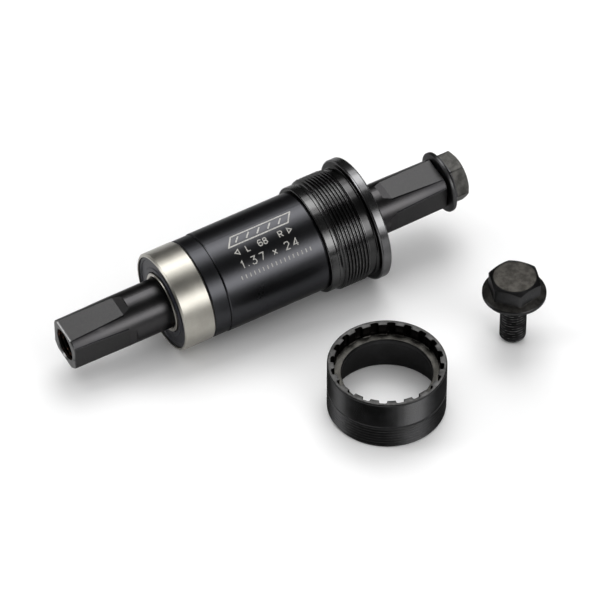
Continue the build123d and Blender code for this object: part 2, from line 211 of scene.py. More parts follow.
def thread_rows(angles, start, end, hand, pitch, radius_of):
    """Block of rows that follow the helix; hand is 1 for a right-hand thread and -1 for a left-hand one.

    radius_of(x, cut) gives the radius where the thread is cut 0 (crest) to 1 (root).
    """
    turns = (angles - angles[0]) / (2 * pi)
    rows = []
    for k in range(-THREAD_STEPS, int((end - start) / pitch * THREAD_STEPS) + THREAD_STEPS + 2):
        x = np.clip(start + pitch * (k / THREAD_STEPS + hand * turns), start, end)
        rows.append(plain_row(angles, x, radius_of(x, THREAD_SHAPE[k % THREAD_STEPS])))
    return (hand, rows)


def lathe(name, blocks, place, closed=True):
    """Mesh from blocks of rows; place is (origin, axis, two cross directions).

    A block is ("rows", rows), or (hand, rows) for a helical one. A closed profile ends where it starts,
    and an open one is capped at both ends.
    """
    verts, row_start, wrap_to = [], [], []
    for kind, rows in blocks:
        first = len(row_start)
        for index in range(len(rows)):
            shift = 0 if kind == "rows" else kind * THREAD_STEPS
            wrap_to.append(first + min(max(index + shift, 0), len(rows) - 1))
            row_start.append(len(verts))
            verts.extend(rows[index])
    columns = len(blocks[0][1][0])
    total = len(row_start)
    faces = []
    for row in range(total if closed else total - 1):
        above = (row + 1) % total
        for column in range(columns):
            if column + 1 < columns:
                quad = (row_start[row] + column, row_start[row] + column + 1,
                        row_start[above] + column + 1, row_start[above] + column)
            else:
                quad = (row_start[row] + column, row_start[wrap_to[row]],
                        row_start[wrap_to[above]], row_start[above] + column)
            faces.append(quad)
    verts = np.array(verts)
    if not closed:
        for row, flip in ((0, True), (total - 1, False)):
            ring = verts[row_start[row]:row_start[row] + columns]
            centre = len(verts)
            verts = np.vstack([verts, [ring.mean(0)]])
            for column in range(columns):
                pair = [row_start[row] + column, row_start[row] + (column + 1) % columns]
                faces.append((*(pair[::-1] if flip else pair), centre))
    origin, x_axis, u_axis, v_axis = place
    basis = np.array([x_axis, u_axis, v_axis])
    return mesh_from(name, np.array(origin) + verts * MM @ basis, faces)


def mesh_from(name, verts, faces, sharp=38):
    """Object with smooth shading, sharp where faces meet at more than sharp degrees."""
    mesh = bpy.data.meshes.new(name)
    mesh.from_pydata([tuple(map(float, v)) for v in verts], [], faces)
    work = bmesh.new()
    work.from_mesh(mesh)
    bmesh.ops.remove_doubles(work, verts=work.verts, dist=2e-7)
    bmesh.ops.recalc_face_normals(work, faces=work.faces)
    work.to_mesh(mesh)
    work.free()
    mesh.shade_smooth()
    mesh.set_sharp_from_angle(angle=radians(sharp))
    obj = bpy.data.objects.new(name, mesh)
    scene.collection.objects.link(obj)
    return obj


def stand_for(obj, body, node, material):
    """Gives a new mesh its material, body and slot, and lets it replace a CAD node."""
    obj.data.materials.append(material)
    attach(obj, body)
    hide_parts(node)


# ================================================================ materials
class Look:
    """Small helper round one node tree with a Principled shader, in metres in the object's own axes.

    Lying pieces are seen from the spindle axis (x along it), standing ones from their foot (z upwards).
    """

    def __init__(self, name, roughness, metallic, ior=1.5, lying=True, origin=(0, 0, 0), edge_tint=1.0):
        self.material = bpy.data.materials.new(name)
        self.material.use_nodes = True
        self.tree = self.material.node_tree
        self.shader = self.tree.nodes["Principled BSDF"]
        self.shader.inputs["Roughness"].default_value = roughness
        self.shader.inputs["Metallic"].default_value = metallic
        self.shader.inputs["IOR"].default_value = ior
        self.shader.inputs["Specular Tint"].default_value = (edge_tint, edge_tint, edge_tint, 1)
        coords = self.tree.nodes.new("ShaderNodeTexCoord")
        mapping = self.tree.nodes.new("ShaderNodeMapping")
        self.link(coords.outputs["Object"], mapping.inputs["Vector"])
        turn = Matrix.Rotation(LEAN, 3, "Y") if lying else Matrix.Identity(3)
        centre = MID if lying else Vector(origin)
        mapping.inputs["Rotation"].default_value = (0, LEAN if lying else 0, 0)
        mapping.inputs["Location"].default_value = -(turn @ centre)
        self.local = mapping.outputs["Vector"]

    def link(self, source, target):
        self.tree.links.new(source, target)

    def put(self, source, socket):
        """Links a node output, or sets a constant."""
        if hasattr(source, "is_output"):
            self.link(source, socket)
        else:
            socket.default_value = source

    def math(self, operation, *values):
        node = self.tree.nodes.new("ShaderNodeMath")
        node.operation = operation
        for index, value in enumerate(values):
            self.put(value, node.inputs[index])
        return node.outputs[0]

    def times(self, first, *others):
        """Product of two or more numbers."""
        for other in others:
            first = self.math("MULTIPLY", first, other)
        return first

    def axes(self):
        split = self.tree.nodes.new("ShaderNodeSeparateXYZ")
        self.link(self.local, split.inputs[0])
        return split.outputs[0], split.outputs[1], split.outputs[2]

    def distance(self, side, rise):
        """Distance from the axis."""
        squares = self.math("ADD", self.math("POWER", side, 2.0), self.math("POWER", rise, 2.0))
        return self.math("SQRT", squares)

    def above(self, value, low, high):
        """0 below low, 1 above high, smooth between."""
        node = self.tree.nodes.new("ShaderNodeMapRange")
        node.interpolation_type = "SMOOTHSTEP"
        self.put(value, node.inputs["Value"])
        node.inputs["From Min"].default_value = low
        node.inputs["From Max"].default_value = high
        return node.outputs["Result"]

    def below(self, value, low, high):
        """1 below low, 0 above high, smooth between."""
        return self.math("SUBTRACT", 1.0, self.above(value, low, high))

    def scaled(self, scale):
        node = self.tree.nodes.new("ShaderNodeMapping")
        self.link(self.local, node.inputs["Vector"])
        node.inputs["Scale"].default_value = scale
        return node.outputs["Vector"]

    def noise(self, scale, detail=3.0, roughness=0.55, vector=None):
        node = self.tree.nodes.new("ShaderNodeTexNoise")
        self.link(vector or self.local, node.inputs["Vector"])
        node.inputs["Scale"].default_value = scale
        node.inputs["Detail"].default_value = detail
        node.inputs["Roughness"].default_value = roughness
        return node.outputs["Fac"]

    def marks(self, scale, detail=2.0, roughness=0.5):
        """Noise drawn out by a different scale along each axis."""
        return self.noise(1.0, detail, roughness, self.scaled(scale))

    def mix(self, factor, a, b):
        """Colour a where factor is 0, b where it is 1."""
        node = self.tree.nodes.new("ShaderNodeMix")
        node.data_type = "RGBA"
        self.put(factor, node.inputs["Factor"])
        for value, socket in ((a, node.inputs[6]), (b, node.inputs[7])):
            self.put((*value, 1) if isinstance(value, tuple) else value, socket)
        return node.outputs[2]

    def blend(self, factor, a, b):
        """Number a where factor is 0, b where it is 1."""
        node = self.tree.nodes.new("ShaderNodeMix")
        self.put(factor, node.inputs["Factor"])
        self.put(a, node.inputs[2])
        self.put(b, node.inputs[3])
        return node.outputs[0]

    def uneven(self, rough, marks, amount=0.08):
        """Roughness that varies with the marks in the surface."""
        return self.math("ADD", rough, self.times(self.math("SUBTRACT", marks, 0.5), amount))

    def bump(self, height, distance, below=None):
        node = self.tree.nodes.new("ShaderNodeBump")
        node.inputs["Distance"].default_value = distance
        node.inputs["Strength"].default_value = 1.0
        self.link(height, node.inputs["Height"])
        if below is not None:
            self.link(below, node.inputs["Normal"])
        return node.outputs["Normal"]

    def finish(self, colour, roughness, normal):
        self.link(colour, self.shader.inputs["Base Color"])
        self.link(roughness, self.shader.inputs["Roughness"])
        self.link(normal, self.shader.inputs["Normal"])
        return self.material


def turned_black(name, dark, light, worn, roughness, thread, crest, foot=None, duller=(), faces=(),
                 shaded_pocket=None):
    """Black oxide over turned steel: ring marks, patchy sheen, a few light specks, worn thread crests.

    dark, light and worn are grey levels. All sizes are in millimetres, along the part's axis or out from
    it, and a standing part gives its foot. thread is (low, high) and crest the radius of its crests;
    duller lists (low, high, share) for darker stretches; faces lists (low, high, inner radius, outer
    radius, colour) for stretches rubbed to a bare satin. The pocket, if given, is (low, high, radius) for
    painted shade: the space inside that radius is coloured near black.
    """
    lying = foot is None
    look = Look(name, roughness, metallic=1.0, lying=lying, origin=foot, edge_tint=0.5)
    x, y, z = look.axes()
    along, side, rise = (x, y, z) if lying else (z, x, y)
    out = look.distance(side, rise)

    def stretch(low, high, fade_in, fade_out):
        """1 from low to high along the axis, fading outside them."""
        return look.times(look.above(along, (low - fade_in) * MM, low * MM),
                          look.below(along, high * MM, (high + fade_out) * MM))

    rings = look.marks((9000, 220, 220) if lying else (220, 220, 9000))
    patch = look.noise(160, detail=4.0, roughness=0.6)
    speck = look.above(look.noise(2600, detail=2.0, roughness=0.5), 0.70, 0.78)
    colour = look.mix(look.above(patch, 0.3, 0.7), (dark,) * 3, (light, light, light * 1.03))
    rough = look.blend(look.above(patch, 0.3, 0.75), roughness * 0.9, roughness * 1.12)
    rough = look.uneven(rough, rings)
    for low, high, share in duller:
        colour = look.mix(stretch(low, high, 0.08, 0.08), colour, (dark * share,) * 3)
    full_wear = crest + CREST_MARGIN
    rubbed = look.times(look.above(out, (full_wear - 0.12) * MM, full_wear * MM),
                        look.above(look.noise(700), 0.4, 0.62), stretch(*thread, 0.2, 0.2))
    colour = look.mix(look.times(rubbed, 0.7), colour, (worn,) * 3)
    colour = look.mix(look.times(speck, 0.35), colour, (worn,) * 3)
    # Painted shade: the recess inside the pocket's radius is coloured near black.
    if shaded_pocket is not None:
        low, high, radius = shaded_pocket
        recess_shade = look.times(stretch(low, high - 0.1, 0.05, 0.1),
                            look.below(out, radius * MM, (radius + 0.1) * MM))
        colour = look.mix(recess_shade, colour, POCKET_PAINTED_SHADE)
    stain = look.noise(420, detail=4.0, roughness=0.65)
    for low, high, inner, outer, bare in faces:
        satin = look.times(stretch(low, high, 0.07, 0.1), look.below(out, (outer - 0.1) * MM, outer * MM),
                           look.above(out, (inner - 0.1) * MM, inner * MM))
        stained, clean = (tuple(c * share for c in bare) for share in (0.5, 1.15))
        colour = look.mix(satin, colour, look.mix(look.above(stain, 0.32, 0.68), stained, clean))
        rough = look.blend(satin, rough, look.blend(stain, 0.42, 0.58))
    normal = look.bump(patch, 0.00001, look.bump(rings, 0.000002))
    return look.finish(colour, rough, normal)


def painted_sleeve(name):
    """Glossy black paint with faint orange peel and hairline scuffs."""
    look = Look(name, roughness=0.26, metallic=1.0, edge_tint=0.5)
    peel = look.noise(1500, detail=2.0, roughness=0.5)
    patch = look.noise(120, detail=4.0, roughness=0.6)
    hair = look.marks((350, 9000, 9000), roughness=0.6)
    scuff = look.times(look.above(hair, 0.68, 0.76), look.above(patch, 0.45, 0.65))
    colour = look.mix(patch, (0.0375, 0.0378, 0.0408), (0.0425, 0.0428, 0.0462))
    colour = look.mix(look.times(scuff, 0.25), colour, (0.09, 0.09, 0.095))
    rough = look.math("ADD", look.blend(patch, 0.25, 0.32), look.times(scuff, 0.12))
    return look.finish(colour, rough, look.bump(peel, 0.000006))


def nylon_collar(name):
    """Black moulded collar, a little softer than the paint beside it."""
    look = Look(name, roughness=0.34, metallic=1.0, edge_tint=0.5)
    grain = look.noise(3500, detail=2.0, roughness=0.6)
    patch = look.noise(180, roughness=0.6)
    colour = look.mix(patch, (0.0375, 0.038, 0.041), (0.043, 0.0435, 0.0468))
    rough = look.blend(patch, 0.28, 0.36)
    return look.finish(colour, rough, look.bump(grain, 0.000005))


def spindle_black(name):
    """Black oxide spindle: satin journals, milled flats, worn end faces, dark tapped holes."""
    look = Look(name, roughness=0.3, metallic=1.0, edge_tint=0.5)
    along, side, rise = look.axes()
    c, s = cos(radians(SPINDLE_TURN)), sin(radians(SPINDLE_TURN))
    # Distances across the two pairs of flats.
    first = look.math("ABSOLUTE", look.math("SUBTRACT", look.times(rise, c), look.times(side, s)))
    second = look.math("ABSOLUTE", look.math("ADD", look.times(rise, s), look.times(side, c)))
    furthest = look.math("MAXIMUM", first, second)
    from_left = look.math("ADD", along, -LEFT_END * MM)
    from_right = look.math("SUBTRACT", RIGHT_END * MM, along)
    from_end = look.math("MINIMUM", from_left, from_right)
    flat_at = look.math("MULTIPLY_ADD", from_end, tan(radians(FLAT_TAPER)), FLAT_END_DISTANCE * MM)
    off = look.math("ABSOLUTE", look.math("SUBTRACT", furthest, flat_at))
    square = look.below(from_end, (FLAT_LENGTH - 0.1) * MM, (FLAT_LENGTH + 0.1) * MM)
    on_flat = look.times(look.below(off, 0.03 * MM, 0.09 * MM), square)
    off_flat = look.math("SUBTRACT", 1.0, on_flat)
    out = look.distance(side, rise)
    hole = look.times(look.below(out, (COUNTERBORE_RADIUS + 0.02) * MM, (COUNTERBORE_RADIUS + 0.2) * MM),
                      look.above(from_end, 0.0, 0.12 * MM))
    end_face = look.below(from_end, 0.1 * MM, 0.6 * MM)
    rings = look.marks((7000, 200, 200))
    patch = look.noise(200, detail=4.0, roughness=0.6)
    grain = look.noise(5200, detail=2.0, roughness=0.7)
    colour = look.mix(patch, (0.030, 0.030, 0.032), (0.048, 0.046, 0.046))
    flat_colour = look.mix(look.above(grain, 0.3, 0.75), (0.031, 0.031, 0.033), (0.055, 0.054, 0.052))
    colour = look.mix(on_flat, colour, flat_colour)
    # Corner between two flats: painted shade, dark along its arrises and darker towards the end of the
    # spindle.
    corner = look.times(square, off_flat)
    arris_shade = look.below(look.math("SUBTRACT", flat_at, furthest), 0.16 * MM, 0.36 * MM)
    end_shade = look.math("MULTIPLY_ADD", look.above(from_end, 0.0, 12.0 * MM), -0.4, 0.4)
    shade = look.math("MAXIMUM", arris_shade, end_shade)
    colour = look.mix(look.times(corner, shade), colour, (0.009, 0.009, 0.010))
    # End face worn to bare metal, hole dark with a little rust.
    bare = look.times(end_face, look.above(patch, 0.2, 0.5), 0.85)
    colour = look.mix(bare, colour, (0.20, 0.20, 0.20))
    rust = look.above(look.noise(700), 0.5, 0.68)
    colour = look.mix(hole, colour, look.mix(rust, (0.012, 0.011, 0.010), (0.085, 0.040, 0.026)))
    rough = look.blend(on_flat, look.blend(patch, 0.25, 0.33), look.blend(grain, 0.34, 0.48))
    rough = look.blend(hole, rough, 0.6)
    thread = look.math("SINE", look.times(along, 2 * pi / (BOLT_PITCH * MM)))
    normal = look.bump(look.times(rings, off_flat), 0.000003)
    normal = look.bump(look.times(grain, on_flat), 0.000012, normal)
    normal = look.bump(look.times(thread, hole), 0.0003, normal)
    return look.finish(colour, rough, normal)


def ground_steel(name, low_colour, high_colour, roughness, ring_depth=0.000002):
    """Ground steel with grinding marks that run round the axis."""
    look = Look(name, roughness, metallic=1.0)
    rings = look.marks((12000, 260, 260), detail=3.0, roughness=0.6)
    patch = look.noise(140, detail=4.0, roughness=0.6)
    colour = look.mix(look.above(patch, 0.3, 0.7), low_colour, high_colour)
    rough = look.uneven(look.blend(patch, roughness * 0.9, roughness * 1.1), rings)
    return look.finish(colour, rough, look.bump(rings, ring_depth))


def rubber(name):
    """Blue-black seal rubber with a fine grain."""
    look = Look(name, roughness=0.5, metallic=0.0, ior=1.4)
    grain = look.noise(4200, roughness=0.7)
    patch = look.noise(260, roughness=0.6)
    colour = look.mix(patch, (0.0048, 0.0052, 0.0105), (0.009, 0.0095, 0.018))
    rough = look.blend(grain, 0.38, 0.56)
    return look.finish(colour, rough, look.bump(grain, 0.000008))


def etched(name):
    """Pale laser marking with a slightly uneven burn."""
    look = Look(name, roughness=0.5, metallic=0.0)
    burn = look.noise(2600, roughness=0.65)
    patch = look.noise(300, detail=2.0, roughness=0.5)
    colour = look.mix(look.above(burn, 0.3, 0.7), (0.24, 0.235, 0.22), (0.5, 0.49, 0.46))
    rough = look.blend(patch, 0.42, 0.6)
    return look.finish(colour, rough, look.bump(burn, 0.000004))


def right_cup_black():
    """Darker on the plain lead, the thread and the relief than on the flange."""
    duller = (
        (RIGHT_CUP_START - 0.35, RIGHT_THREAD_START - 0.1, 0.75),
        (RIGHT_THREAD_START, RIGHT_THREAD_END, 0.6),
        (RIGHT_THREAD_END + 0.1, FLANGE_START, 0.42),
    )
    return turned_black("right_cup_black", dark=0.095, light=0.12, worn=0.12, roughness=0.22,
                        thread=(RIGHT_THREAD_START, RIGHT_THREAD_END), crest=THREAD_RADIUS, duller=duller)


def left_cup_black():
    """Rubbed on its rim and on the ledge under the socket, with painted shade, near black, in the notched
    socket between them.
    """
    faces = (
        (LEFT_HEIGHT - 0.03, LEFT_HEIGHT + 0.3, LAND_RADIUS - 0.35, THREAD_RADIUS + 0.2, RIM_FACE),
        (LEFT_LEDGE - 0.03, LEFT_LEDGE + 0.3, LIP_RADIUS - 0.15, LAND_RADIUS + 0.35, LEDGE_FACE),
    )
    return turned_black("left_cup_black", dark=0.030, light=0.042, worn=0.06, roughness=0.38,
                        thread=(LEFT_THREAD_START + 0.1, LEFT_THREAD_END), crest=THREAD_RADIUS,
                        foot=cup_origin, faces=faces,
                        shaded_pocket=(LEFT_LEDGE + 0.02, LEFT_HEIGHT - 0.07, NOTCH_FLOOR + 0.15))


def loose_bolt_black():
    """Rubbed on top of its head and on the cone of its flange."""
    top = SHANK_LENGTH + HEAD_HEIGHT
    faces = (
        (top - 0.03, top + 0.3, 0.0, FACE_RADIUS + 0.15, BOLT_FACE),
        (SHANK_LENGTH + RIM_TOP - 0.02, SHANK_LENGTH + CONE_TOP + 0.1, 0.0, RIM_RADIUS - 0.15, CONE_FACE),
    )
    return turned_black("loose_bolt_black", dark=0.031, light=0.046, worn=0.26, roughness=0.32,
                        thread=(0.0, SHANK_LENGTH + BOLT_THREAD_END - 0.1), crest=SHANK_RADIUS,
                        foot=bolt_origin, faces=faces)


def fitted_bolt_black():
    """Rubbed over the whole hexagon."""
    faces = ((FITTED_SEAT + 2.55, FITTED_SEAT + 7.95, 0.0, HEX_CORNER_RADIUS + 0.52, HEX_FACE),)
    return turned_black("fitted_bolt_black", dark=0.045, light=0.068, worn=0.16, roughness=0.38,
                        thread=(RIGHT_END - SHANK_LENGTH, RIGHT_END + BOLT_THREAD_END), crest=SHANK_RADIUS,
                        faces=faces)


looks = {
    "right_cup": right_cup_black(),
    "left_cup": left_cup_black(),
    "loose_bolt": loose_bolt_black(),
    "fitted_bolt": fitted_bolt_black(),
    "sleeve": painted_sleeve("sleeve_black"),
    "collar": nylon_collar("collar_black"),
    "spindle": spindle_black("spindle_black"),
    "race": ground_steel("race_steel", (0.305, 0.293, 0.262), (0.365, 0.351, 0.315), 0.37),
    "ball": ground_steel("ball_steel", (0.72, 0.72, 0.71), (0.82, 0.82, 0.81), 0.08, 0.000001),
    "cage": ground_steel("cage_steel", (0.42, 0.40, 0.36), (0.58, 0.55, 0.5), 0.34),
    "seal": rubber("seal_rubber"),
    "marking": etched("sleeve_marking"),
}
node_looks = {
    "cartridge_tube": "sleeve", "end_collar": "collar", "spindle": "spindle", "right_cup": "right_cup",
    "left_cup": "left_cup", "left_crank_bolt": "loose_bolt", "right_crank_bolt": "fitted_bolt",
}
# Bearing pieces are named left_ or right_ and then their kind; what isn't listed is part of a cage.
bearing_looks = {
    "inner_race": "race", "outer_race": "race", "balls": "ball",
    "outboard_seal": "seal", "inboard_seal": "seal",
}
for node, obj in frame["nodes"].items():
    key = node_looks.get(node)
    if key is None:
        key = bearing_looks.get(node.split("_", 1)[1], "cage")
    obj.data.materials.clear()
    obj.data.materials.append(looks[key])

# ================================================================ right cup
def flange_edge(face, into):
    """Chamfer with eased arrises from a face of the flange to its rim; into is 1 or -1 along x."""
    steps = ((0.0, 0.53), (0.04, 0.41), (0.12, 0.31), (0.34, 0.09), (0.40, 0.04), (0.50, 0.0), (0.54, 0.0))
    return [(face + into * depth, FLANGE_RADIUS - drop) for depth, drop in steps]


def lead_edge():
    """Eased edge from the cup's inner end to its plain lead."""
    steps = ((0.0, 0.4), (0.03, 0.23), (0.13, 0.09), (0.27, 0.01), (0.33, 0.0), (0.37, 0.0))
    return [(RIGHT_CUP_START + depth, LEAD_RADIUS - drop) for depth, drop in steps]


def thread_groove():
    """Shallow groove from the plain lead to the start of the thread."""
    steps = ((1.46, 0.0), (1.42, 0.0), (1.36, 0.02), (1.22, 0.19), (1.14, 0.23), (0.7, 0.27), (0.2, 0.15))
    return [(RIGHT_THREAD_START - before, LEAD_RADIUS - drop) for before, drop in steps]


def right_thread(x, cut):
    thread = THREAD_RADIUS - (THREAD_RADIUS - RIGHT_ROOT) * cut
    lead_in = RIGHT_ROOT + np.clip(x - RIGHT_THREAD_START, 0, 1)
    lead_out = RIGHT_ROOT + np.clip(RIGHT_THREAD_END - x, 0, 1)
    return np.minimum(np.minimum(thread, lead_in), lead_out)


angles = column_angles()
right_blocks = [
    # Bearing seat, inner end, plain lead and the groove before the thread.
    rows_at(angles, (RIGHT_LIP_START, LAND_RADIUS), (RIGHT_CUP_START, LAND_RADIUS),
            *lead_edge(), *thread_groove()),
    thread_rows(angles, RIGHT_THREAD_START, RIGHT_THREAD_END, -1, CUP_PITCH, right_thread),
    # Relief, its fillet into the flange, and the flange's rim.
    rows_at(angles, (RIGHT_THREAD_END + 0.15, RELIEF_RADIUS), (RIGHT_THREAD_END + 0.2, RELIEF_RADIUS),
            (FLANGE_START - 0.75, RELIEF_RADIUS), (FLANGE_START - 0.7, RELIEF_RADIUS),
            (FLANGE_START - 0.3, RELIEF_RADIUS + 0.1), (FLANGE_START - 0.08, RELIEF_RADIUS + 0.35),
            (FLANGE_START, RELIEF_RADIUS + 0.7), (FLANGE_START, RELIEF_RADIUS + 0.8),
            *flange_edge(FLANGE_START, 1), *reversed(flange_edge(FLANGE_END, -1)),
            (FLANGE_END, FLANGE_RADIUS - 0.63)),
    # Tool socket, then the lip that holds the bearing.
    socket_rows(FLANGE_END, ((0.0, 0.22), (0.07, 0.07), (0.22, 0.0), (3.14, 0.0), (3.2, -0.05))),
    rows_at(angles, (FLANGE_START, LIP_RADIUS + 0.25), (FLANGE_START - 0.07, LIP_RADIUS + 0.07),
            (FLANGE_START - 0.25, LIP_RADIUS), (RIGHT_LIP_START, LIP_RADIUS)),
]
right_cup = lathe("right_cup_threaded", right_blocks, (MID, ALONG, UP, FRONT))
stand_for(right_cup, "cartridge", "right_cup", looks["right_cup"])


# ================================================================ left cup
def left_thread(x, cut):
    thread = THREAD_RADIUS - (THREAD_RADIUS - LEFT_ROOT) * cut
    lead_in = LEFT_ROOT + 0.15 + np.clip(x - LEFT_THREAD_START, 0, 1)
    fade = smooth_step(x, LEFT_THREAD_END - 0.9, LEFT_THREAD_END)
    return np.minimum(thread, lead_in) * (1 - fade) + THREAD_RADIUS * fade


left_turn = radians(LEFT_CUP_TURN)
left_angles = column_angles(left_turn)
grooves = [
    (GROOVES_START + GROOVE_PITCH * k / 2, THREAD_RADIUS - GROOVE_DEPTH * (k % 2))
    for k in range(2 * GROOVES + 1)
]
left_blocks = [
    # Inner end, thread, grooved wall and rim.
    rows_at(left_angles, (0.6, LEFT_BORE), (0.12, LEFT_BORE + 0.3), (0.0, LEFT_BORE + 0.55),
            (0.0, LEFT_ROOT - 0.1), (0.08, LEFT_ROOT)),
    thread_rows(left_angles, LEFT_THREAD_START, LEFT_THREAD_END, 1, CUP_PITCH, left_thread),
    rows_at(left_angles, *grooves),
    rows_at(left_angles, (LEFT_HEIGHT - 0.4, THREAD_RADIUS), (LEFT_HEIGHT - 0.15, THREAD_RADIUS - 0.07),
            (LEFT_HEIGHT - 0.04, THREAD_RADIUS - 0.2), (LEFT_HEIGHT, THREAD_RADIUS - 0.38)),
    # Tool socket, then its ledge, the lip and the bearing bore.
    socket_rows(LEFT_HEIGHT, ((0.0, 0.22), (0.06, 0.07), (0.2, 0.0), (3.8, 0.0), (3.9, -0.08)), left_turn),
    rows_at(left_angles, (LEFT_LEDGE, LIP_RADIUS + 0.35), (LEFT_LEDGE - 0.08, LIP_RADIUS + 0.11),
            (LEFT_LEDGE - 0.3, LIP_RADIUS), (LEFT_LIP_START + 0.15, LIP_RADIUS),
            (LEFT_LIP_START + 0.04, LIP_RADIUS + 0.05), (LEFT_LIP_START, LIP_RADIUS + 0.2),
            (LEFT_LIP_START, LEFT_BORE)),
]
left_cup_place = (Vector(cup_origin), Vector((0, 0, 1)), Vector((1, 0, 0)), Vector((0, 1, 0)))
left_cup = lathe("left_cup_threaded", left_blocks, left_cup_place)
stand_for(left_cup, "left_cup", "left_cup", looks["left_cup"])


# ================================================================ crank bolts
def bolt_thread(x, cut):
    thread = SHANK_RADIUS - (SHANK_RADIUS - SHANK_ROOT) * cut
    tip = TIP_RADIUS + np.clip(x - BOLT_THREAD_START, 0, 2)
    neck = SHANK_ROOT + np.clip(BOLT_THREAD_END - x, 0, 1)
    return np.minimum(np.minimum(thread, tip), neck)


def bolt_blocks(turn):
    """Rows of a flanged hex bolt from its tip to the middle of its head."""
    ring = np.arange(BOLT_STEPS) * 2 * pi / BOLT_STEPS + turn
    # Hexagon with softly rounded corners: angle of each column from the middle of its flat.
    local = (ring - turn + pi / 6) % (pi / 3) - pi / 6
    rounded = HEX_CORNER_RADIUS - 1.2 * (pi / 6 - np.abs(local)) ** 2
    hexagon = np.minimum(HEX_INRADIUS / np.cos(local), rounded)
    # Heights where the hexagon meets the 30 degree chamfer above and the flange's cone below.
    side_top = HEAD_HEIGHT - (hexagon - FACE_RADIUS) * tan(radians(30))
    cone_slope = (CONE_TOP - RIM_TOP) / (RIM_RADIUS - CONE_TOP_RADIUS)
    cone_at = CONE_TOP - (hexagon - CONE_TOP_RADIUS) * cone_slope
    sides = (
        (cone_at - 0.05, 0.22), (cone_at + 0.02, 0.1), (cone_at + 0.08, 0.03), (cone_at + 0.18, 0.0),
        (side_top - 0.14, 0.0), (side_top - 0.03, -0.03), (side_top + 0.05, -0.14),
    )
    return [
        rows_at(ring, (-SHANK_LENGTH, 1.2), (-SHANK_LENGTH, TIP_RADIUS - 0.2)),
        thread_rows(ring, BOLT_THREAD_START, BOLT_THREAD_END, 1, BOLT_PITCH, bolt_thread),
        # Neck and flange.
        rows_at(ring, (BOLT_THREAD_END + 0.1, SHANK_ROOT), (-0.15, SHANK_ROOT), (0.0, SHANK_ROOT + 0.15),
                (0.0, RIM_RADIUS - 0.35), (0.07, RIM_RADIUS - 0.15), (0.28, RIM_RADIUS),
                (RIM_TOP - 0.25, RIM_RADIUS), (RIM_TOP - 0.08, RIM_RADIUS - 0.06),
                (RIM_TOP + 0.05, RIM_RADIUS - 0.22)),
        # Hexagon and its slightly domed top.
        rows_at(ring, *((height, hexagon + grow) for height, grow in sides)),
        rows_at(ring, (HEAD_HEIGHT - 0.05, FACE_RADIUS + 0.12), (HEAD_HEIGHT, FACE_RADIUS - 0.05),
                (HEAD_HEIGHT + 0.03, FACE_RADIUS - 0.4), (HEAD_HEIGHT + 0.09, 4.8),
                (HEAD_HEIGHT + 0.15, 3.0), (HEAD_HEIGHT + 0.19, 1.2)),
    ]


def crank_bolt(name, turn, seat, along, up):
    """Bolt with the underside of its flange at seat."""
    return lathe(name, bolt_blocks(radians(turn)), (seat, along, up, along.cross(up)), closed=False)


loose_seat = Vector(bolt_origin) + Vector((0, 0, SHANK_LENGTH * MM))
loose_bolt = crank_bolt("loose_bolt_threaded", LOOSE_BOLT_TURN, loose_seat,
                        Vector((0, 0, 1)), Vector((1, 0, 0)))
stand_for(loose_bolt, "left_bolt", "left_crank_bolt", looks["loose_bolt"])
fitted_seat = MID + ALONG * FITTED_SEAT * MM
fitted_bolt = crank_bolt("fitted_bolt_threaded", FITTED_BOLT_TURN, fitted_seat, ALONG, UP)
stand_for(fitted_bolt, "right_bolt", "right_crank_bolt", looks["fitted_bolt"])

# ================================================================ marking on the sleeve
# Strokes of each sign as points (x, y), for a sign about 1 wide and 1.6 high.
GLYPHS = {
    "1": [[(0.2, 1.25), (0.55, 1.6), (0.55, 0)]],
    "2": [[(0, 1.3), (0.2, 1.6), (0.8, 1.6), (1, 1.3), (1, 1.0), (0, 0), (1, 0)]],
    "3": [[(0, 1.6), (1, 1.6), (0.45, 0.95), (0.8, 0.9), (1, 0.6), (1, 0.3), (0.75, 0), (0.2, 0),
           (0, 0.25)]],
    "4": [[(0.8, 0), (0.8, 1.6), (0, 0.45), (1.05, 0.45)]],
    "6": [[(0.95, 1.4), (0.7, 1.6), (0.25, 1.6), (0, 1.25), (0, 0.3), (0.25, 0), (0.75, 0), (1, 0.3),
           (1, 0.6), (0.75, 0.9), (0.05, 0.75)]],
    "7": [[(0, 1.6), (1, 1.6), (0.4, 0)]],
    "8": [[(0.5, 0.86), (0.15, 0.98), (0.05, 1.3), (0.25, 1.6), (0.75, 1.6), (0.95, 1.3), (0.85, 0.98),
           (0.5, 0.86), (0.1, 0.7), (0, 0.3), (0.25, 0), (0.75, 0), (1, 0.3), (0.9, 0.7), (0.5, 0.86)]],
    "L": [[(0, 1.6), (0, 0), (0.85, 0)]],
    "R": [[(0, 0), (0, 1.6), (0.75, 1.6), (1, 1.3), (0.95, 0.95), (0.7, 0.78), (0, 0.78)],
          [(0.45, 0.78), (1, 0)]],
    "x": [[(0, 0.1), (0.8, 1.05)], [(0, 1.05), (0.8, 0.1)]],
    ".": [[(0.1, 0.0), (0.1, 0.22)]],
    "<": [[(1.1, 0.05), (0.0, 0.75), (1.1, 1.45), (1.1, 0.05)]],
    ">": [[(0.0, 0.05), (1.1, 0.75), (0.0, 1.45), (0.0, 0.05)]],
}
ARC = SLEEVE_RADIUS * pi / 180
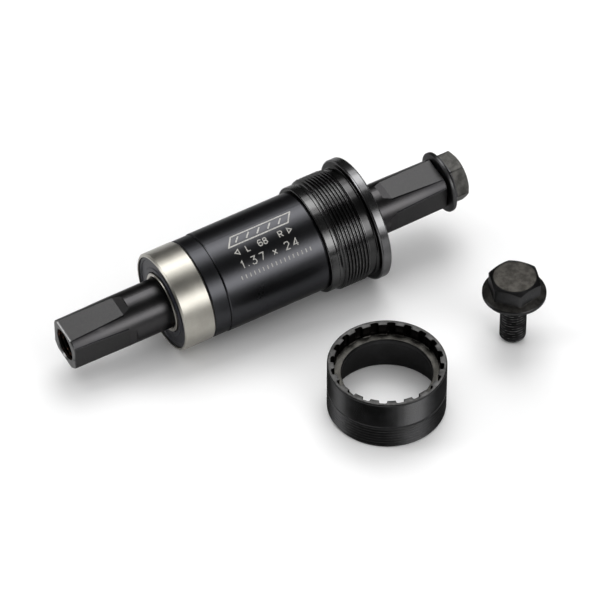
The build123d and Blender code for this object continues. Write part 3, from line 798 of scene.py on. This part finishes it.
# Each entry: signs, x where they start, baseline in degrees behind the top, size, gap between signs.
SIGNS = (
    ("<", -7.6, -27.0, 1.15, 0.45), ("L", -3.9, -27.4, 1.15, 0.45), ("68", 0.1, -27.4, 1.15, 0.45),
    ("R", 6.9, -27.4, 1.15, 0.45), (">", 9.9, -27.0, 1.15, 0.45), ("1.37 x 24", -7.6, -42.8, 1.4, 0.96),
)
SIGN_STROKE = 0.3
TICKS, TICKS_START, TICK_PITCH = 17, -8.7, 1.42
TICK_BOTTOM, TICK_TOP = -54.0, -49.6
EMBLEM_LEFT, EMBLEM_RIGHT = -9.0, 13.5
EMBLEM_BOTTOM, EMBLEM_TOP = -15.2, -3.6
EMBLEM_STROKE = 0.42
EMBLEM_BARS, EMBLEM_BAR_PITCH = 5, 3.55
STROKE_PIECE = 0.45


def fine_points(points):
    """The stroke's points with more between them, so that it bends round the sleeve."""
    fine = [Vector(points[0])]
    for a, b in zip(points, points[1:]):
        a, b = Vector(a), Vector(b)
        pieces = max(1, int((b - a).length / STROKE_PIECE))
        fine += [a + (b - a) * (i + 1) / pieces for i in range(pieces)]
    return fine


def stroke_mesh(strokes, width):
    """Closed strips lying on the sleeve.

    Each stroke is points (x along the sleeve, arc length towards the back); one that ends where it
    starts becomes a ring.
    """
    verts, faces = [], []
    top, bottom = SLEEVE_RADIUS + MARK_HEIGHT, SLEEVE_RADIUS - MARK_SINK
    for points in strokes:
        fine = fine_points(points)
        loop = (fine[0] - fine[-1]).length < 1e-6
        if loop:
            fine = fine[:-1]
        count, first = len(fine), len(verts)
        for i, point in enumerate(fine):
            before = point - (fine[i - 1] if i or loop else point)
            after = (fine[(i + 1) % count] if i + 1 < count or loop else point) - point
            d1 = (before if before.length > 1e-9 else after).normalized()
            d2 = after.normalized() if after.length > 1e-9 else d1
            d = (d1 + d2).normalized() if (d1 + d2).length > 1e-6 else d1
            across = Vector((-d.y, d.x))
            # A mitred corner reaches further, up to twice the half width.
            reach = width / 2 / max(abs(across.dot(Vector((-d1.y, d1.x)))), 0.5)
            for flank, radius in ((1, top), (-1, top), (-1, bottom), (1, bottom)):
                at = point + across * reach * flank
                angle = -at.y / SLEEVE_RADIUS
                verts.append(MID + (ALONG * at.x + (UP * cos(angle) + FRONT * sin(angle)) * radius) * MM)
        for i in range(count if loop else count - 1):
            a, b = first + 4 * i, first + 4 * ((i + 1) % count)
            for k in range(4):
                faces.append((a + k, a + (k + 1) % 4, b + (k + 1) % 4, b + k))
        if not loop:
            last = first + 4 * (count - 1)
            faces.append((first + 3, first + 2, first + 1, first))
            faces.append((last, last + 1, last + 2, last + 3))
    return verts, faces


def word(text, x, arc, size, gap):
    """Strokes of the signs in text, which starts at x with its baseline at arc."""
    strokes = []
    for letter in text:
        if letter == " ":
            x += 1.1 * size
            continue
        for stroke in GLYPHS[letter]:
            strokes.append([(x + px * size, arc + py * size) for px, py in stroke])
        x += (max(px for stroke in GLYPHS[letter] for px, py in stroke) + gap) * size
    return strokes


mark_strokes = []
for text, x, behind, size, gap in SIGNS:
    mark_strokes += word(text, x, behind * ARC, size, gap)
for index in range(TICKS):
    x = TICKS_START + TICK_PITCH * index
    mark_strokes.append([(x, TICK_BOTTOM * ARC), (x, TICK_TOP * ARC)])
marking = mesh_from("sleeve_marking", *stroke_mesh(mark_strokes, SIGN_STROKE), 30)

# Emblem: a leaning frame with slanted bars.
low, high = EMBLEM_BOTTOM * ARC, EMBLEM_TOP * ARC
corner = (EMBLEM_LEFT + 0.6, low)
other_corners = [(EMBLEM_RIGHT - 2.2, low), (EMBLEM_RIGHT, high), (EMBLEM_LEFT + 2.8, high)]
emblem_strokes = [[corner, *other_corners, corner]]
for index in range(EMBLEM_BARS):
    x = EMBLEM_LEFT + 3.3 + EMBLEM_BAR_PITCH * index
    emblem_strokes.append([(x, low + 0.75), (x + 1.55, high - 0.75)])
emblem = mesh_from("sleeve_emblem", *stroke_mesh(emblem_strokes, EMBLEM_STROKE), 30)
for piece in (marking, emblem):
    piece.data.materials.append(looks["marking"])
    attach(piece, "cartridge")

# ================================================================ floor
FLOOR_SIZE = 0.72
floor_look = bpy.data.materials.new("floor_white")
floor_look.use_nodes = True
floor_shader = floor_look.node_tree.nodes["Principled BSDF"]
floor_shader.inputs["Base Color"].default_value = (0.93, 0.93, 0.93, 1)
floor_shader.inputs["Roughness"].default_value = 0.9
floor_shader.inputs["Specular IOR Level"].default_value = 0.1
bpy.ops.mesh.primitive_plane_add(size=FLOOR_SIZE, location=(0, 0, 0))
floor = bpy.context.object
floor.name = "studio_floor"
floor.data.materials.append(floor_look)

# ================================================================ lights
# Each main softbox: name, degrees behind the vertical, height of its face and of its brighter core.
MAIN_SOFTBOXES = (("overhead", 25.5, 1.06, 0.44), ("front", -61.5, 0.88, 0.42))
MAIN_SOFTBOX_X = 0.3


def softbox(name, direction, distance, wide, tall, radiance, glossy=True, diffuse=True):
    """Area light facing the object; wide runs along X as far as its direction allows."""
    data = bpy.data.lights.new(name, "AREA")
    data.shape = "RECTANGLE"
    data.size, data.size_y = wide, tall
    data.energy = radiance * pi * wide * tall
    obj = bpy.data.objects.new(name, data)
    scene.collection.objects.link(obj)
    toward = Vector(direction).normalized()
    side = (Vector((1, 0, 0)) - toward * toward.x).normalized()
    over = toward.cross(side)
    turn = Matrix((side, over, toward)).transposed().to_4x4()
    obj.matrix_world = Matrix.Translation(toward * distance) @ turn
    obj.visible_camera = False
    obj.visible_glossy = glossy
    obj.visible_diffuse = diffuse


def leaning_back(degrees_behind, x):
    """Direction with the given share of X, turned back from the vertical round X."""
    a = radians(degrees_behind)
    return (x, sin(a) * sqrt(1 - x * x), cos(a) * sqrt(1 - x * x))


for name, behind, face_tall, core_tall in MAIN_SOFTBOXES:
    direction = leaning_back(behind, MAIN_SOFTBOX_X)
    softbox(name + "_softbox", direction, distance=1.3, wide=0.84, tall=face_tall, radiance=2.5)
    softbox(name + "_core", direction, distance=1.28, wide=0.80, tall=core_tall, radiance=3.4, diffuse=False)
softbox("side_softbox", (-0.8, 0.45, 0.4), distance=1.3, wide=0.5, tall=0.4, radiance=7.0)
softbox("floor_fill", (0, 0, 1), distance=2.0, wide=3.0, tall=3.0, radiance=1.35, glossy=False)

# White surroundings: bright as the backdrop, faint as a light.
WORLD_LIGHT, WORLD_BACKDROP = 0.09, 1.0
world = bpy.data.worlds.new("studio")
scene.world = world
world.use_nodes = True
background = world.node_tree.nodes["Background"]
background.inputs["Color"].default_value = (1, 1, 1, 1)
path = world.node_tree.nodes.new("ShaderNodeLightPath")
level = world.node_tree.nodes.new("ShaderNodeMapRange")
level.inputs["To Min"].default_value = WORLD_LIGHT
level.inputs["To Max"].default_value = WORLD_BACKDROP
world.node_tree.links.new(path.outputs["Is Camera Ray"], level.inputs["Value"])
world.node_tree.links.new(level.outputs["Result"], background.inputs["Strength"])

# ================================================================ camera
AZIMUTH, ELEVATION, DISTANCE = radians(-29.035), radians(44.755), 1.6036
TARGET = Vector((0.00936, 0.02153, 0.0))
camera_data = bpy.data.cameras.new("camera")
camera_data.lens = 324.8
camera_data.sensor_width = 36
camera_data.clip_start, camera_data.clip_end = 0.05, 60
camera = bpy.data.objects.new("camera", camera_data)
scene.collection.objects.link(camera)
back = Vector((sin(AZIMUTH) * cos(ELEVATION), -cos(AZIMUTH) * cos(ELEVATION), sin(ELEVATION)))
camera.location = TARGET + back * DISTANCE
camera.rotation_mode = "QUATERNION"
camera.rotation_quaternion = (-back).to_track_quat("-Z", "Y")
scene.camera = camera
scene.view_settings.view_transform = "Standard"
